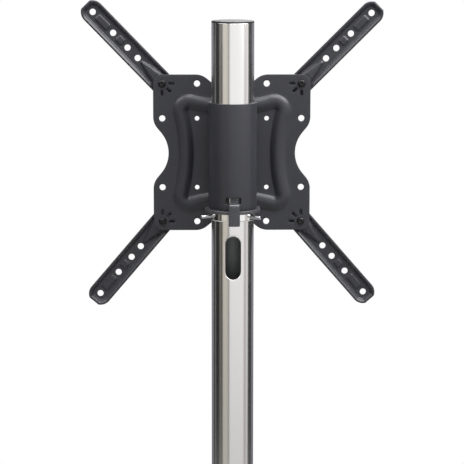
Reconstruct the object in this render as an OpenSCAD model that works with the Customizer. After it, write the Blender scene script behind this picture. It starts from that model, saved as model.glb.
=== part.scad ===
// Floor stand for a television. A steel tube stands on a round base plate. A clamp ring on
// the tube carries a turning sleeve, and the sleeve carries a pressed mounting plate with
// four folding arms.
// The origin is on the floor under the tube's axis, +Z is up and the television hangs at +Y.

/* [Stand] */
// Height of the top of the cap above the floor
stand_h = 1500; // [1300:10:2000]
// Depth of the mounting plate's centre below the top of the cap
mount_drop = 193; // [180:1:900]

/* [Base] */
// Diameter of the base plate
base_d = 600; // [460:10:760]
// Thickness of the base plate
base_t = 8; // [6:0.5:12]
// Width of the bevel round the base plate's upper edge
base_bevel = 2; // [0.5:0.5:4]
// Number of rubber pads under the base plate
pad_count = 6; // [3:1:8]
// Diameter of a pad
pad_d = 40; // [30:1:50]
// Height of a pad
pad_t = 6; // [5:0.5:12]
// Distance from the base plate's rim to a pad's centre
pad_inset = 38; // [30:1:70]
// Thread of the screw that holds a pad
pad_screw_d = 5; // [4:0.5:6]

/* [Foot of the tube] */
// Thickness of the foot flange
flange_t = 8; // [6:0.5:12]
// Height of the spigot that enters the tube
spigot_h = 45; // [25:1:70]
// Wall of the spigot
spigot_wall = 4; // [3:0.5:8]
// Free space between the tube and the flange bolts' washers
flange_bolt_space = 8; // [5:0.5:14]
// Flange left outside the washers
flange_margin = 6; // [3:0.5:12]
// Thread of the flange bolts
flange_bolt_d = 8; // [6:1:10]
// Number of flange bolts
flange_bolt_count = 4; // [3:1:6]
// Space left between the flange and the wall of its cover
cover_space = 14; // [8:1:30]
// Air left above the bolt heads inside the cover
cover_air = 3; // [1:0.5:8]
// Sheet of the cover
cover_t = 1.2; // [0.8:0.1:2]
// Rounding of the cover's shoulder
cover_round = 11; // [5:1:16]

/* [Tube] */
// Outer diameter of the tube
pole_d = 60; // [54:0.5:66]
// Wall of the tube
pole_wall = 2; // [1.5:0.1:3]
// Width of a cable slot
cable_slot_w = 23; // [16:0.5:28]
// Height of a cable slot
cable_slot_h = 62; // [40:1:80]
// Depth of the upper cable slot's centre below the top of the cap
upper_slot_drop = 332; // [300:1:600]
// Height of the lower cable slot's centre above the floor
lower_slot_rise = 160; // [130:1:400]

/* [Cap] */
// Thickness of the cap's head
cap_t = 2.6; // [2.6:0.1:8]
// Rounding of the cap's upper edge
cap_round = 1.6; // [0.6:0.1:2.5]
// Height of the plug under the cap's head
plug_h = 22; // [12:1:30]
// Wall of the plug
plug_wall = 2; // [1.5:0.1:3]

/* [Clamp ring] */
// Height of the ring
ring_h = 11.2; // [10:0.1:16]
// Radial thickness of the ring
ring_wall = 3; // [2.4:0.1:4]
// Bevel along the ring's outer edges
ring_bevel = 0.8; // [0.3:0.1:1.2]
// Number of clamp screws in the ring
ring_screw_count = 3; // [2:1:3]
// Angle of the first clamp screw, from +X towards +Y
ring_screw_turn = -38; // [-42:1:-30]
// Thread of a clamp screw
ring_screw_d = 5; // [4:0.5:6]
// Length of a clamp screw
ring_screw_l = 18; // [14:0.5:24]

/* [Thrust washer] */
// Reach of the washer past the sleeve's outside
washer_lip = 5.4; // [4:0.1:8]
// Thickness of the washer
washer_t = 4.6; // [1.5:0.1:6]

/* [Sleeve] */
// Length of the sleeve above the bracket
sleeve_over = 27; // [10:1:40]
// Length of the sleeve below the bracket
sleeve_under = 19; // [17:1:40]
// Wall of the sleeve
sleeve_wall = 2; // [1.6:0.1:3]
// Radial thickness of the plastic bushes in the sleeve
bush_wall = 1.9; // [1.9:0.1:3]
// Height of the upper bush
upper_bush_h = 30; // [15:1:45]
// Height of the lower bush
lower_bush_h = 32; // [28:1:45]
// Depth of the bushes' ends inside the sleeve's ends
bush_inset = 1; // [0.4:0.1:3]

/* [Stop tab] */
// Width of the tab
tab_w = 15.8; // [12:0.1:18]
// Thickness of the tab's sheet
tab_t = 1.5; // [1:0.1:1.6]
// Distance that the tab stands to one side of its slot's middle
tab_shift = 1.4; // [-2:0.1:2]
// Length of the tab below the sleeve
tab_reach = 21; // [18:0.5:26]
// Height of the tab's lip inside the sleeve
tab_lip_h = 12; // [9:0.5:16]
// Radius of the tab's outer bend
tab_bend = 4; // [2:0.5:5]
// Play of the tab in its slot, both sides together
tab_play = 6.6; // [5:0.1:8]
// Height of the tab's slot
tab_slot_h = 8.7; // [6:0.1:10]
// Height of the slot's middle above the sleeve's lower end
tab_slot_rise = 14; // [12:0.5:18]

/* [Bracket] */
// Distance from the sleeve to the plate's front face
plate_space = 20; // [17:0.5:40]
// Width of the bracket between sleeve and plate
bracket_w = 54; // [48:0.5:58]
// Free height between the bracket's ends and the plate's rib
bracket_space = 2.2; // [1:0.1:12]
// Sheet of the bracket
bracket_t = 3; // [2:0.1:4]
// Thread of the bolts that hold the plate to the bracket
bracket_bolt_d = 6; // [5:0.5:6]
// Distance across between those bolts
bracket_bolt_dx = 26; // [22:0.5:28]
// Distance from the bracket's ends to those bolts
bracket_bolt_inset = 12; // [8:0.5:20]

/* [Plate] */
// Distance from the outer screw holes to the plate's edge
plate_margin = 13; // [11:0.5:18]
// Sheet of the plate
plate_t = 2.5; // [2:0.1:3.5]
// Large grid of screw holes, which the arms' pivots share; the small grid is half of it
grid_large = 200; // [200:50:300]
// Diameter of the holes on the small grid
small_hole_d = 6.6; // [5:0.1:8]
// Diameter of the holes on the large grid
large_hole_d = 8.9; // [6:0.1:10]
// Radius of the waist's hollow
waist_r = 46; // [40:1:50]
// Radius of the waist's shoulders
shoulder_r = 25; // [20:1:28]
// Slope of the waist's flanks
waist_slope = 39.5; // [36:0.5:41]
// Length of the straight part of the waist's flanks
waist_flank = 8.8; // [0.5:0.1:12]

/* [Pressed rib] */
// Height of the rib
rib_h = 4.6; // [3:0.1:6]
// Half of the rib's width at its foot
rib_half = 11.8; // [10:0.1:11.9]
// Half of the width of the rib's level crown
rib_crown = 3.2; // [0:0.1:5]
// Flat land between the small grid's holes and the rib's foot
rib_land = 0.9; // [0.5:0.1:4]
// Rise of the rib's crest at mid side over the centres of the corner bends
rib_rise = 5; // [0.5:0.1:7]
// Radius of the rib's crest in a corner
rib_bend = 13; // [12:0.1:15]

/* [Index slots] */
// Distance from the pivot to the near end of an index slot
index_near = 9; // [8.5:0.1:10]
// Distance from the pivot to the far end of an index slot
index_far = 17.5; // [16.5:0.1:19]
// Width of an index slot
index_w = 4; // [3:0.1:5]

/* [Arms] */
// Width of an arm's flat floor
arm_floor_w = 17.9; // [16:0.1:24]
// Depth of an arm, rim to back
arm_depth = 6.7; // [6:0.1:10]
// Sheet of an arm
arm_t = 2.2; // [1.6:0.1:2.6]
// Width of the rim round an arm
arm_rim = 1.8; // [1.2:0.1:2.4]
// Distance between the pivot and the centre of the arm's inner round end
arm_tail = 2.3; // [0.5:0.1:4]
// Distance from an arm's outer hole to the flat across its end
arm_tip = 14.6; // [13:0.1:16]
// Inward run of an arm's sloping sides
arm_flare = 6; // [4:0.1:6.5]
// Diameter of the holes in an arm
arm_hole_d = 9; // [6:0.1:9.5]
// Height of the raised panels between the holes
panel_h = 1.6; // [1:0.1:2.4]
// Width of the raised panels
panel_w = 9.5; // [7:0.1:11]
// Upper left arm, degrees above the level
upper_left_angle = 46; // [2:0.5:88]
// Upper right arm, degrees above the level
upper_right_angle = 45; // [2:0.5:88]
// Lower left arm, degrees below the level
lower_left_angle = 49.5; // [2:0.5:88]
// Lower right arm, degrees below the level
lower_right_angle = 49; // [2:0.5:88]
// Diameter of the nub that shows through an index slot
nub_d = 3; // [2:0.1:3.6]

/* [Pivot fasteners] */
// Thread of a pivot screw
pivot_d = 6; // [5:0.5:7]
// Diameter of a pivot screw's head
pivot_head_d = 11; // [10:0.1:12]
// Height of a pivot screw's head
pivot_head_h = 3.3; // [2.5:0.1:4]
// Thickness of the plastic washer between plate and arm
pivot_washer_t = 0.9; // [0.8:0.1:1.5]
// Diameter of that washer
pivot_washer_d = 16; // [13:0.5:16.5]
// Height of a pivot nut
pivot_nut_h = 4.2; // [3.5:0.1:5.2]

/* [Fits] */
// Radial clearance of the parts that run on the tube or on a pivot
run_fit = 0.06; // [0.02:0.01:0.1]
// Clearance between fixed parts that are fitted into each other
seat_fit = 0.1; // [0.05:0.01:0.2]
// Gap between faces that slide past each other
slide_gap = 0.2; // [0.1:0.05:0.3]
// Clearance of a screw in a plain hole, on the diameter
screw_play = 0.6; // [0.2:0.1:1]

/* [Hidden] */
$fn = 96;
arc_steps = 12;
// Stations round a corner bend and along a bowed side of the rib, and facets across it
bend_steps = 8;
side_steps = 5;
section_steps = 10;
// Length by which a cut runs past the face that it opens
over = 1;

// Widths across flats, heads and sockets follow the thread, as on standard screws
nut_share = 1.7;
cap_head_share = 1.6;
socket_share = 0.8;
button_socket_share = 0.65;
grub_socket_share = 0.5;
socket_depth_share = 0.5;
csk_head_share = 2;
washer_share = 2;
washer_t_share = 0.2;

// Levels, from the floor up
base_z = pad_t;
flange_z = base_z + base_t;
pole_z = flange_z + flange_t;
pole_top = stand_h - cap_t;
plate_z = stand_h - mount_drop;
pivot = grid_large / 2;
grid_small = grid_large / 2;
rib_mid = grid_small / 2 + small_hole_d / 2 + rib_land + rib_half;
bracket_h = 2 * (rib_mid - rib_half - bracket_space);
sleeve_top = plate_z + bracket_h / 2 + sleeve_over;
sleeve_z = plate_z - bracket_h / 2 - sleeve_under;
sleeve_h = sleeve_top - sleeve_z;
washer_z = sleeve_z - slide_gap - washer_t;
ring_z = washer_z - ring_h;

// Radii round the tube's axis
pole_r = pole_d / 2;
bore_r = pole_r - pole_wall;
run_r = pole_r + run_fit;
ring_r = run_r + ring_wall;
bush_r = run_r + bush_wall;
sleeve_in = bush_r + seat_fit;
sleeve_r = sleeve_in + sleeve_wall;
washer_r = sleeve_r + washer_lip;
plate_y = sleeve_r + plate_space;
pad_circle = base_d / 2 - pad_inset;
flange_washer_r = flange_bolt_d * washer_share / 2;
flange_washer_t = flange_bolt_d * washer_t_share;
flange_circle = pole_r + flange_bolt_space + flange_washer_r;
flange_r = flange_circle + flange_washer_r + flange_margin;
flange_head_h = flange_bolt_d;
cover_r = flange_r + cover_space;
cover_h = flange_t + flange_washer_t + flange_head_h + cover_air + cover_t;

// Stop tab: radii and levels of its sheet
tab_slot_w = tab_w + tab_play;
tab_face_r = washer_r + slide_gap + tab_t;
tab_half_angle = asin(tab_w / 2 / tab_face_r);
tab_turn = -90 + asin(tab_shift / tab_face_r);
lip_r = sleeve_in - seat_fit - tab_t / 2;
leg_r = tab_face_r - tab_t / 2;
tab_slot_z = sleeve_z + tab_slot_rise;
neck_z = tab_slot_z - tab_slot_h / 2 + slide_gap + tab_t / 2;
lip_bend = tab_t / 2 + seat_fit;
lip_top = neck_z + tab_lip_h;
tab_end = sleeve_z - tab_reach;
tab_window_half_angle = tab_half_angle + asin(screw_play / sleeve_in);

// Plate and rib
plate_w = grid_large + 2 * plate_margin;
bracket_bolt_dz = bracket_h - 2 * bracket_bolt_inset;
rib_corner = rib_mid - rib_rise;
rib_side_r = (pow(rib_corner, 2) + pow(rib_rise, 2) - pow(rib_bend, 2)) / (2 * (rib_bend - rib_rise));
rib_turn = atan2(rib_corner, rib_side_r + rib_rise);
// Share of the rib's width that its wave covers; outside it the foot runs into the sheet
wave_share = 0.92;
waist_depth = (waist_r + shoulder_r) * (1 - cos(waist_slope)) + waist_flank * sin(waist_slope);
waist_x = plate_w / 2 - waist_depth + waist_r;
shoulder_y = (waist_r + shoulder_r) * sin(waist_slope) + waist_flank * cos(waist_slope);

// Arms
hole_step = grid_large / 4;
arm_holes = [hole_step, hole_step * sqrt(2), 2 * hole_step, 2 * hole_step * sqrt(2)];
arm_l = arm_holes[3];
arm_w = arm_floor_w + 2 * (arm_flare + arm_rim);
arm_slope = atan(arm_flare / arm_depth);
tray_depth = arm_depth - arm_t;
tray_flare = arm_flare * tray_depth / arm_depth;
nub_r = (index_near + index_far) / 2 + index_w / 4;
nub_h = pivot_washer_t - slide_gap;
// Outline of the raised fan between the pivot and the first hole, along and across the arm
fan_shares = [[0.84, 0.2], [0.56, 0.37], [0.36, 0.52], [0.2, 0.74], [0.06, 0.99]];
// Reach of the two raised panels between the outer holes
panel_end_share = 0.18;

function arc(centre, r, from, to) =
    [for (i = [0:arc_steps])
        let (a = from + (to - from) * i / arc_steps)
        [centre[0] + r * cos(a), centre[1] + r * sin(a)]];

function turned(points, a) =
    [for (p = points) [p[0] * cos(a) - p[1] * sin(a), p[0] * sin(a) + p[1] * cos(a)]];

function swapped(points) =
    [for (i = [len(points) - 2:-1:1]) [points[i][1], points[i][0]]];

// An eighth of the plate's outline, from the middle of a side to the corner
plate_eighth = concat(
    arc([waist_x, 0], waist_r, 180, 180 - waist_slope),
    arc([plate_w / 2 - shoulder_r, shoulder_y], shoulder_r, -waist_slope, 0),
    arc([pivot, pivot], plate_margin, 0, 45));
plate_quarter = concat(plate_eighth, swapped(plate_eighth));
plate_outline = [for (q = [0:3]) each turned(plate_quarter, 90 * q)];

// Places a child on the plate: x across, y up, z from the plate's back face to the viewer
module on_plate() {
    translate([0, plate_y + plate_t, plate_z])
        rotate([90, 0, 0])
            children();
}

module ring_of(count, r) {
    for (i = [0:count - 1])
        rotate([0, 0, 360 * i / count])
            translate([r, 0, 0])
                children();
}

module tube(r_out, r_in, h) {
    difference() {
        cylinder(r = r_out, h = h);
        translate([0, 0, -over])
            cylinder(r = r_in, h = h + 2 * over);
    }
}

module hexagon(across, h) {
    cylinder(r = across / 2 / cos(30), h = h, $fn = 6);
}

// A slot with round ends, from one point to another on the same ray
module ray_slot(near, far, w, h) {
    translate([near + w / 2, 0, 0])
        cylinder(d = w, h = h);
    translate([far - w / 2, 0, 0])
        cylinder(d = w, h = h);
    translate([near + w / 2, -w / 2, 0])
        cube([far - near - w, w, h]);
}

// A slot through the tube's wall towards the viewer
module cable_slot(z) {
    translate([0, 0, z])
        rotate([90, 90, 0])
            translate([0, 0, bore_r / 2])
                ray_slot(-cable_slot_h / 2, cable_slot_h / 2, cable_slot_w, pole_r);
}

// A socket head cap screw that points down, with its head's seat at zero
module cap_screw(d, l) {
    difference() {
        union() {
            cylinder(d = d * cap_head_share, h = d);
            translate([0, 0, -l])
                cylinder(d = d, h = l + over);
        }
        translate([0, 0, d - d * socket_depth_share])
            hexagon(d * socket_share, d);
    }
}

module base_plate() {
    color([0.13, 0.13, 0.14])
        difference() {
            translate([0, 0, base_z])
                rotate_extrude()
                    polygon([[0, 0], [base_d / 2, 0], [base_d / 2, base_t - base_bevel],
                             [base_d / 2 - base_bevel, base_t], [0, base_t]]);
            translate([0, 0, base_z - over]) {
                ring_of(flange_bolt_count, flange_circle)
                    cylinder(d = flange_bolt_d + 2 * run_fit, h = base_t + 2 * over);
                ring_of(pad_count, pad_circle)
                    cylinder(d = pad_screw_d + 2 * run_fit,
                             h = base_t - pad_screw_d * socket_depth_share + over);
            }
        }
}

module foot_pads() {
    head_r = pad_screw_d * csk_head_share / 2 + seat_fit;
    color([0.09, 0.09, 0.09])
        ring_of(pad_count, pad_circle)
            difference() {
                cylinder(d = pad_d, h = pad_t);
                translate([0, 0, -over])
                    cylinder(d = pad_screw_d + screw_play, h = pad_t + 2 * over);
                translate([0, 0, -over])
                    cylinder(r = head_r, h = pad_t / 2 + over);
            }
}

module pad_screws() {
    shank = pad_t / 2 + base_t - pad_screw_d * socket_depth_share - seat_fit;
    color([0.6, 0.6, 0.62])
        ring_of(pad_count, pad_circle)
            translate([0, 0, pad_t / 2])
                difference() {
                    union() {
                        translate([0, 0, -pad_screw_d / 3])
                            cylinder(d = pad_screw_d * csk_head_share, h = pad_screw_d / 3);
                        translate([0, 0, -pad_screw_d / 3])
                            cylinder(d = pad_screw_d, h = shank + pad_screw_d / 3);
                    }
                    translate([0, 0, -pad_screw_d])
                        hexagon(pad_screw_d * grub_socket_share, pad_screw_d);
                }
}

module foot_flange() {
    spigot_r = bore_r - seat_fit;
    color([0.55, 0.55, 0.57])
        translate([0, 0, flange_z])
            difference() {
                union() {
                    cylinder(r = flange_r, h = flange_t);
                    cylinder(r = spigot_r, h = flange_t + spigot_h);
                }
                translate([0, 0, flange_t])
                    cylinder(r = spigot_r - spigot_wall, h = spigot_h + over);
                translate([0, 0, -over])
                    ring_of(flange_bolt_count, flange_circle)
                        cylinder(d = flange_bolt_d + screw_play, h = flange_t + 2 * over);
            }
}

module flange_bolts() {
    color([0.6, 0.6, 0.62])
        translate([0, 0, pole_z + flange_washer_t])
            ring_of(flange_bolt_count, flange_circle)
                cap_screw(flange_bolt_d, flange_washer_t + flange_t + base_t - seat_fit);
}

module flange_washers() {
    color([0.7, 0.7, 0.72])
        translate([0, 0, pole_z])
            ring_of(flange_bolt_count, flange_circle)
                tube(flange_washer_r, (flange_bolt_d + screw_play) / 2, flange_washer_t);
}

module foot_cover() {
    top = cover_h;
    inner_round = cover_round - cover_t;
    eye_r = pole_r + seat_fit;
    color([0.72, 0.71, 0.7])
        translate([0, 0, flange_z])
            rotate_extrude()
                polygon(concat(
                    [[cover_r, 0]],
                    arc([cover_r - cover_round, top - cover_round], cover_round, 0, 90),
                    [[eye_r, top], [eye_r, top - cover_t]],
                    arc([cover_r - cover_round, top - cover_round], inner_round, 90, 0),
                    [[cover_r - cover_t, 0]]));
}

module pole() {
    color([0.74, 0.73, 0.71])
        difference() {
            translate([0, 0, pole_z])
                tube(pole_r, bore_r, pole_top - pole_z);
            cable_slot(stand_h - upper_slot_drop);
            cable_slot(lower_slot_rise);
        }
}

module pole_cap() {
    plug_r = bore_r - seat_fit;
    color([0.12, 0.12, 0.13]) {
        translate([0, 0, pole_top])
            rotate_extrude()
                polygon(concat(
                    [[0, 0], [pole_r, 0]],
                    arc([pole_r - cap_round, cap_t - cap_round], cap_round, 0, 90),
                    [[0, cap_t]]));
        translate([0, 0, pole_top - plug_h])
            tube(plug_r, plug_r - plug_wall, plug_h);
    }
}

module clamp_ring() {
    color([0.8, 0.8, 0.8])
        translate([0, 0, ring_z])
            difference() {
                rotate_extrude()
                    polygon([[run_r, 0], [ring_r - ring_bevel, 0], [ring_r, ring_bevel],
                             [ring_r, ring_h - ring_bevel], [ring_r - ring_bevel, ring_h],
                             [run_r, ring_h]]);
                rotate([0, 0, ring_screw_turn])
                    translate([0, 0, ring_h / 2])
                        ring_of(ring_screw_count, pole_r / 2)
                            rotate([0, 90, 0])
                                cylinder(d = ring_screw_d + 2 * run_fit, h = pole_r);
            }
}

module clamp_screws() {
    tip = ring_screw_d / 6;
    color([0.82, 0.82, 0.82])
        rotate([0, 0, ring_screw_turn])
            translate([0, 0, ring_z + ring_h / 2])
                ring_of(ring_screw_count, pole_r + seat_fit)
                    rotate([0, 90, 0])
                        difference() {
                            union() {
                                cylinder(d1 = ring_screw_d - 2 * tip, d2 = ring_screw_d, h = tip);
                                translate([0, 0, tip])
                                    cylinder(d = ring_screw_d, h = ring_screw_l - tip);
                            }
                            translate([0, 0, ring_screw_l - ring_screw_d * socket_depth_share])
                                hexagon(ring_screw_d * grub_socket_share, ring_screw_d);
                        }
}

module thrust_washer() {
    color([0.2, 0.2, 0.22])
        translate([0, 0, washer_z])
            tube(washer_r, run_r, washer_t);
}

module sleeve() {
    color([0.22, 0.22, 0.24])
        difference() {
            translate([0, 0, sleeve_z])
                tube(sleeve_r, sleeve_in, sleeve_h);
            translate([-tab_slot_w / 2, -sleeve_r - over, tab_slot_z - tab_slot_h / 2])
                cube([tab_slot_w, sleeve_r, tab_slot_h]);
        }
}

module bush(h) {
    tube(bush_r, run_r, h);
}

module upper_bush() {
    color([0.16, 0.16, 0.17])
        translate([0, 0, sleeve_top - bush_inset - upper_bush_h])
            bush(upper_bush_h);
}

// The lower bush has a window for the tab's lip
module lower_bush() {
    window_z = tab_slot_z - tab_slot_h / 2;
    window_h = lip_top + slide_gap - window_z;
    color([0.16, 0.16, 0.17])
        difference() {
            translate([0, 0, sleeve_z + bush_inset])
                bush(lower_bush_h);
            rotate([0, 0, tab_turn - tab_window_half_angle])
                translate([0, 0, window_z])
                    rotate_extrude(angle = 2 * tab_window_half_angle)
                        translate([pole_r / 2, 0])
                            square([pole_r, window_h]);
        }
}

// The tab is a bent strip: a lip inside the sleeve, a neck through the slot and a leg outside
module stop_tab() {
    lip_turn = [lip_r + lip_bend, neck_z + lip_bend];
    leg_turn = [leg_r - tab_bend, neck_z - tab_bend];
    half = tab_t / 2;
    color([0.15, 0.15, 0.17])
        rotate([0, 0, tab_turn - tab_half_angle])
            rotate_extrude(angle = 2 * tab_half_angle)
                polygon(concat(
                    [[lip_r - half, lip_top]],
                    arc(lip_turn, lip_bend + half, 180, 270),
                    arc(leg_turn, tab_bend - half, 90, 0),
                    [[leg_r - half, tab_end], [leg_r + half, tab_end]],
                    arc(leg_turn, tab_bend + half, 0, 90),
                    arc(lip_turn, lip_bend - half, 270, 180),
                    [[lip_r + half, lip_top]]));
}

// The bracket is a channel whose flanges meet the sleeve
module plate_bracket() {
    color([0.14, 0.14, 0.15])
        difference() {
            translate([-bracket_w / 2, 0, plate_z - bracket_h / 2])
                cube([bracket_w, plate_y, bracket_h]);
            translate([-bracket_w / 2 + bracket_t, -over, plate_z - bracket_h / 2 - over])
                cube([bracket_w - 2 * bracket_t, plate_y - bracket_t + over, bracket_h + 2 * over]);
            translate([0, 0, plate_z - bracket_h / 2 - over])
                cylinder(r = sleeve_r + seat_fit, h = bracket_h + 2 * over);
            at_bracket_bolts()
                translate([0, 0, plate_t - over])
                    cylinder(d = bracket_bolt_d + screw_play, h = bracket_t + 2 * over);
        }
}

module at_bracket_bolts() {
    on_plate()
        for (x = [-1, 1], y = [-1, 1])
            translate([x * bracket_bolt_dx / 2, y * bracket_bolt_dz / 2, 0])
                children();
}

// A button head screw with its head's seat at zero and its shank towards +Z
module button_screw(d, head_d, head_h, l) {
    rim = head_h / 4;
    crown_r = head_d / 2 - head_h;
    crown = [for (p = arc([0, 0], 1, 270, 360))
        [crown_r + (head_d / 2 - crown_r) * p[0], (head_h - rim) * p[1] - rim]];
    difference() {
        union() {
            rotate_extrude()
                polygon(concat([[0, -head_h]], crown, [[head_d / 2, 0], [0, 0]]));
            translate([0, 0, -rim])
                cylinder(d = d, h = l + rim);
        }
        translate([0, 0, -head_h - over])
            hexagon(d * button_socket_share, head_h * socket_depth_share + over);
    }
}

module bracket_bolts() {
    head_h = bracket_bolt_d * socket_depth_share;
    color([0.1, 0.1, 0.11])
        at_bracket_bolts()
            button_screw(bracket_bolt_d, bracket_bolt_d * nut_share, head_h,
                         plate_t + bracket_t + bracket_bolt_d * socket_share + slide_gap);
}

module bracket_nuts() {
    color([0.6, 0.6, 0.62])
        at_bracket_bolts()
            translate([0, 0, plate_t + bracket_t])
                difference() {
                    hexagon(bracket_bolt_d * nut_share, bracket_bolt_d * socket_share);
                    translate([0, 0, -over])
                        cylinder(d = bracket_bolt_d + 2 * run_fit, h = bracket_bolt_d + 2 * over);
                }
}

// The crest of the rib in one quarter: place and outward direction of each station
rib_quarter = concat(
    [for (i = [0:bend_steps - 1])
        let (a = (90 + 2 * rib_turn) * i / bend_steps - rib_turn)
        [rib_corner + rib_bend * cos(a), rib_corner + rib_bend * sin(a), a]],
    [for (i = [0:side_steps - 1])
        let (a = rib_turn - 2 * rib_turn * i / side_steps - 90)
        [rib_side_r * cos(a), rib_mid + rib_side_r + rib_side_r * sin(a), a + 180]]);
rib_stations = [for (q = [0:3], s = rib_quarter)
    concat(turned([s], 90 * q)[0], s[2] + 90 * q)];

function rib_section(lift, foot) = concat(
    [[-rib_half, foot]],
    [for (i = [0:section_steps])
        let (x = rib_half * wave_share * (2 * i / section_steps - 1))
        let (fall = max(0, (abs(x) - rib_crown) / (rib_half - rib_crown)))
        [x, lift + rib_h * (1 + cos(180 * fall)) / 2]],
    [[rib_half, foot]]);

// The rib's wave with its level crown, carried round four corner bends and four bowed sides
module rib_ring(lift, foot) {
    section = rib_section(lift, foot);
    n = len(rib_stations);
    m = len(section);
    polyhedron(
        points = [for (s = rib_stations, p = section)
            [s[0] + p[0] * cos(s[2]), s[1] + p[0] * sin(s[2]), p[1]]],
        faces = [for (i = [0:n - 1], j = [0:m - 1])
            let (a = i * m + j, b = i * m + (j + 1) % m)
            let (d = (i + 1) % n * m + j, c = (i + 1) % n * m + (j + 1) % m)
            each [[a, d, c], [a, c, b]]]);
}

module at_corners() {
    for (q = [0:3])
        rotate([0, 0, 90 * q])
            translate([pivot, pivot, 0])
                children();
}

module mount_plate() {
    deep = plate_t + 2 * over;
    color([0.24, 0.24, 0.26])
        on_plate()
            difference() {
                union() {
                    linear_extrude(plate_t)
                        polygon(plate_outline);
                    rib_ring(plate_t, plate_t / 2);
                }
                rib_ring(0, -over);
                translate([0, 0, -over]) {
                    at_corners() {
                        cylinder(d = pivot_d + 2 * run_fit, h = deep);
                        for (a = [180, 225, 270])
                            rotate([0, 0, a])
                                ray_slot(index_near, index_far, index_w, deep);
                    }
                    for (x = [-1, 1], y = [-1, 1]) {
                        translate([x * grid_small / 2, y * grid_small / 2, 0])
                            cylinder(d = small_hole_d, h = deep);
                        translate([x * grid_large / 2, y * grid_small / 2, 0])
                            cylinder(d = large_hole_d, h = deep);
                        translate([x * grid_small / 2, y * grid_large / 2, 0])
                            cylinder(d = large_hole_d, h = deep);
                        translate([x * bracket_bolt_dx / 2, y * bracket_bolt_dz / 2, 0])
                            cylinder(d = bracket_bolt_d + screw_play, h = deep);
                    }
                }
            }
}

module pivot_screws() {
    l = plate_t + pivot_washer_t + arm_t + pivot_nut_h;
    color([0.1, 0.1, 0.11])
        on_plate()
            at_corners()
                translate([0, 0, plate_t])
                    rotate([180, 0, 0])
                        button_screw(pivot_d, pivot_head_d, pivot_head_h, l);
}

module pivot_washers() {
    color([0.85, 0.85, 0.83])
        on_plate()
            at_corners()
                translate([0, 0, -pivot_washer_t])
                    tube(pivot_washer_d / 2, pivot_d / 2 + run_fit, pivot_washer_t);
}

module pivot_nuts() {
    color([0.6, 0.6, 0.62])
        on_plate()
            at_corners()
                translate([0, 0, -pivot_washer_t - arm_t - pivot_nut_h])
                    difference() {
                        hexagon(pivot_d * nut_share, pivot_nut_h - slide_gap);
                        translate([0, 0, -over])
                            cylinder(d = pivot_d + 2 * run_fit, h = pivot_nut_h + 2 * over);
                    }
}

// A long tray with round ends whose sides slope inwards from zero down to its floor
module tray(from, to, r_top, r_floor, depth) {
    for (u = [from, to])
        translate([u, 0, -depth])
            cylinder(r1 = r_floor, r2 = r_top, h = depth);
    translate([from, 0, 0])
        rotate([90, 0, 90])
            linear_extrude(to - from)
                polygon([[-r_top, 0], [r_top, 0], [r_floor, -depth], [-r_floor, -depth]]);
}

module fan_outline() {
    across = arm_w / 2;
    side = [for (p = fan_shares) [p[0] * hole_step, p[1] * across]];
    polygon(concat(
        [for (p = side) p],
        [[-arm_w, across], [-arm_w, -across]],
        [for (i = [len(side) - 1:-1:0]) [side[i][0], -side[i][1]]]));
}

// All that lies past a sloping face across the arm's end, for a given reach of its upper edge
module past_tip(reach) {
    translate([arm_l + reach, 0, 0])
        rotate([0, arm_slope, 0])
            translate([0, -arm_w, -2 * arm_depth])
                cube([arm_w, 2 * arm_w, 3 * arm_depth]);
}

// The arm lies along +X from its pivot, with its rim at zero and its back below
module arm() {
    r_top = arm_w / 2;
    difference() {
        union() {
            difference() {
                tray(-arm_tail, arm_l, r_top, r_top - arm_flare, arm_depth);
                past_tip(arm_tip);
            }
            translate([-nub_r, 0, -arm_t / 2])
                cylinder(d = nub_d, h = arm_t / 2 + nub_h);
        }
        difference() {
            translate([0, 0, over])
                tray(0, arm_l, r_top - arm_rim + over * arm_flare / arm_depth,
                     r_top - arm_rim - tray_flare, tray_depth + over);
            past_tip(arm_tip - arm_rim);
            translate([0, 0, -arm_depth])
                linear_extrude(arm_depth + 2 * over)
                    fan_outline();
            for (i = [1, 2])
                arm_panel(arm_holes[i], arm_holes[i + 1]);
        }
        translate([0, 0, -arm_depth - over])
            cylinder(d = arm_floor_w, h = tray_depth + over);
        for (u = arm_holes)
            translate([u, 0, -arm_depth - over])
                cylinder(d = arm_hole_d, h = arm_depth + 2 * over);
        translate([0, 0, -arm_depth])
            cylinder(d = pivot_d + 2 * run_fit, h = arm_depth + over);
    }
}

// A raised panel on the tray's floor between two holes
module arm_panel(from, to) {
    space = arm_hole_d / 2 + (to - from) * panel_end_share;
    translate([from + space, -panel_w / 2, -arm_depth])
        cube([to - from - 2 * space, panel_w, arm_t + panel_h]);
}

module placed_arm(x, y, a) {
    color([0.2, 0.2, 0.22])
        on_plate()
            translate([x * pivot, y * pivot, -pivot_washer_t])
                rotate([0, 0, a])
                    arm();
}

module arm_upper_left() {
    placed_arm(-1, 1, 180 - upper_left_angle);
}

module arm_upper_right() {
    placed_arm(1, 1, upper_right_angle);
}

module arm_lower_left() {
    placed_arm(-1, -1, 180 + lower_left_angle);
}

module arm_lower_right() {
    placed_arm(1, -1, -lower_right_angle);
}

base_plate();
foot_pads();
pad_screws();
foot_flange();
flange_bolts();
flange_washers();
foot_cover();
pole();
pole_cap();
clamp_ring();
clamp_screws();
thrust_washer();
sleeve();
upper_bush();
lower_bush();
stop_tab();
plate_bracket();
bracket_bolts();
bracket_nuts();
mount_plate();
pivot_screws();
pivot_washers();
pivot_nuts();
arm_upper_left();
arm_upper_right();
arm_lower_left();
arm_lower_right();
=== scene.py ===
# %% [markdown]
# # A floor stand for a screen
#
# The stand is a ground steel tube on a round base. High on the tube a polished clamp ring carries
# a black sleeve, and behind the sleeve hangs a pressed plate with four pressed arms. The packed
# model is the fixed frame and gives the places. This lesson makes the surfaces and finishes that
# a camera sees, in millimetres until a mesh is made.

# %% Load the frame
import math

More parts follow.
